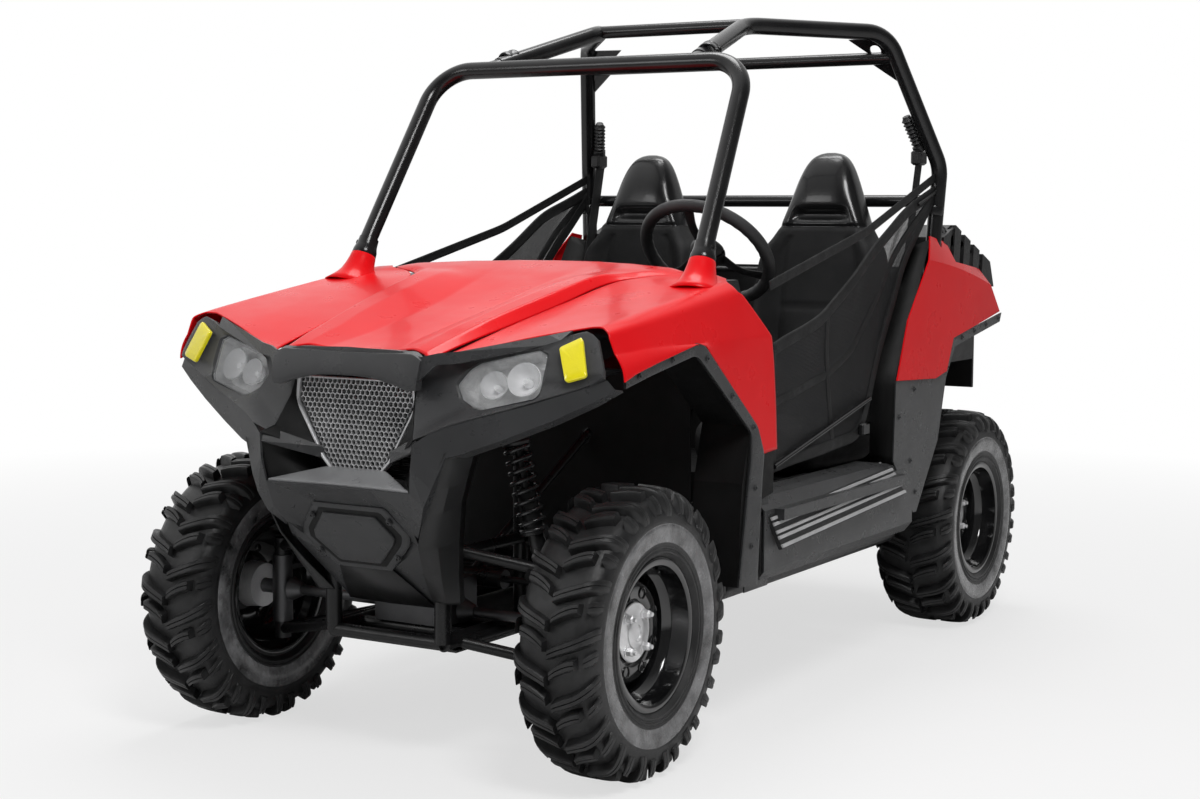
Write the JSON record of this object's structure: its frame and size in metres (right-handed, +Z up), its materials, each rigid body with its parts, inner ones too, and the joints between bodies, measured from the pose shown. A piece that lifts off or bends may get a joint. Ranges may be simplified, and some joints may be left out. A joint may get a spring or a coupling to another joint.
{
  "type": "side by side utv",
  "caption": "Two-seat side by side utility vehicle with a sloping hood, tubular roll cage, side nets, bucket seats, cargo box and lugged tyres on stamped wheels.",
  "frame": {"origin": "bottom centre of the bounding box, on the ground midway along the vehicle", "axes": "+Y points to the tail, +X to the vehicle's left side, +Z up; the front faces -Y"},
  "size_m": [1.26, 2.6151, 1.7298],
  "materials": {
    "tyre_rubber": "matt",
    "rim_steel": "satin",
    "cast_iron": "matt",
    "suspension_steel": "satin",
    "frame_steel": "gloss",
    "grip_rubber": "matt",
    "black_plastic": "textured",
    "red_plastic": "gloss",
    "seat_cover": "satin",
    "webbing": "matt",
    "engine_metal": "satin",
    "muffler_steel": "satin",
    "red_lens": "gloss",
    "lever_plastic": "gloss",
    "clear_lens": "clear",
    "amber_lens": "gloss"
  },
  "bodies": {
    "chassis": {"front_arms": "suspension_steel", "rear_arms": "suspension_steel", "rear_carriers": "cast_iron", "shocks": "suspension_steel", "front_drive": "cast_iron", "rear_drive": "cast_iron", "steering_column": "frame_steel", "main_frame": "frame_steel", "front_tower": "frame_steel", "rear_deck": "frame_steel", "front_hoop": "frame_steel", "rear_cage": "frame_steel", "header_clamps": "frame_steel", "floor_tub": "black_plastic", "skid_plate": "black_plastic", "dash": "black_plastic", "rockers": "black_plastic", "front_fender_left": "red_plastic", "front_fender_right": "red_plastic", "arch_liners": "black_plastic", "rear_fender_left": "red_plastic", "rear_fender_right": "red_plastic", "rear_trims": "black_plastic", "rear_vents": "black_plastic", "cargo_bed": "black_plastic", "seat_left": "seat_cover", "seat_right": "seat_cover", "seat_belts": "webbing", "side_net_left": "webbing", "side_net_right": "webbing", "engine_block": "engine_metal", "muffler": "muffler_steel", "rear_bumper": "frame_steel", "hitch_receiver": "frame_steel", "tail_panel": "black_plastic", "tail_lamps": "red_lens", "pedals": "frame_steel", "gear_lever": "lever_plastic", "front_bumper": "black_plastic", "nose_trim": "black_plastic", "headlamp_lenses": "clear_lens", "side_markers": "amber_lens", "headlamp_housings": "black_plastic", "grille": "black_plastic"},
    "hood_lid": {"hood": "red_plastic"},
    "steering_wheel_turn": {"steering_wheel": "grip_rubber"},
    "steer_left": {"knuckle_left": "cast_iron"},
    "steer_right": {"knuckle_right": "cast_iron"},
    "tie_rod_slide": {"tie_rods": "suspension_steel"},
    "wheel_front_left": {"tyre_front_left": "tyre_rubber", "rim_front_left": "rim_steel"},
    "wheel_front_right": {"tyre_front_right": "tyre_rubber", "rim_front_right": "rim_steel"},
    "wheel_rear_left": {"tyre_rear_left": "tyre_rubber", "rim_rear_left": "rim_steel"},
    "wheel_rear_right": {"tyre_rear_right": "tyre_rubber", "rim_rear_right": "rim_steel"}
  },
  "joints": [
    {"name": "hood_hinge", "type": "hinge", "parent": "chassis", "child": "hood_lid", "pos_m": [0, -1.2385, 0.9085], "axis": [1, 0, 0], "range_deg": [0, 45]},
    {"name": "steer_left_kingpin", "type": "hinge", "parent": "chassis", "child": "steer_left", "pos_m": [0.43, -0.96575, 0.3175], "axis": [0, 0, 1], "range_deg": [-28, 28]},
    {"name": "steer_right_kingpin", "type": "hinge", "parent": "chassis", "child": "steer_right", "pos_m": [-0.43, -0.96575, 0.3175], "axis": [0, 0, 1], "range_deg": [-28, 28]},
    {"name": "steering_wheel_turn", "type": "hinge", "parent": "chassis", "child": "steering_wheel_turn", "pos_m": [0.27, -0.13775, 1.112], "axis": [0, 0.7314, 0.682], "range_deg": [-253, 253]},
    {"name": "rack_slide", "type": "slide", "parent": "chassis", "child": "tie_rod_slide", "axis": [1, 0, 0], "range_m": [-0.044, 0.044]},
    {"name": "wheel_front_left_spin", "type": "hinge", "parent": "steer_left", "child": "wheel_front_left", "pos_m": [0.5145, -0.96575, 0.3175], "axis": [1, 0, 0], "continuous": true},
    {"name": "wheel_front_right_spin", "type": "hinge", "parent": "steer_right", "child": "wheel_front_right", "pos_m": [-0.5145, -0.96575, 0.3175], "axis": [1, 0, 0], "continuous": true},
    {"name": "wheel_rear_left_spin", "type": "hinge", "parent": "chassis", "child": "wheel_rear_left", "pos_m": [0.495, 0.99025, 0.3175], "axis": [1, 0, 0], "continuous": true},
    {"name": "wheel_rear_right_spin", "type": "hinge", "parent": "chassis", "child": "wheel_rear_right", "pos_m": [-0.495, 0.99025, 0.3175], "axis": [1, 0, 0], "continuous": true}
  ],
  "couplings": [
    {"joint": "steer_right_kingpin", "follows": "steer_left_kingpin", "ratio": 1},
    {"joint": "steering_wheel_turn", "follows": "steer_left_kingpin", "ratio": 9},
    {"joint": "rack_slide", "follows": "steer_left_kingpin", "m_per_rad": -0.088}
  ]
}
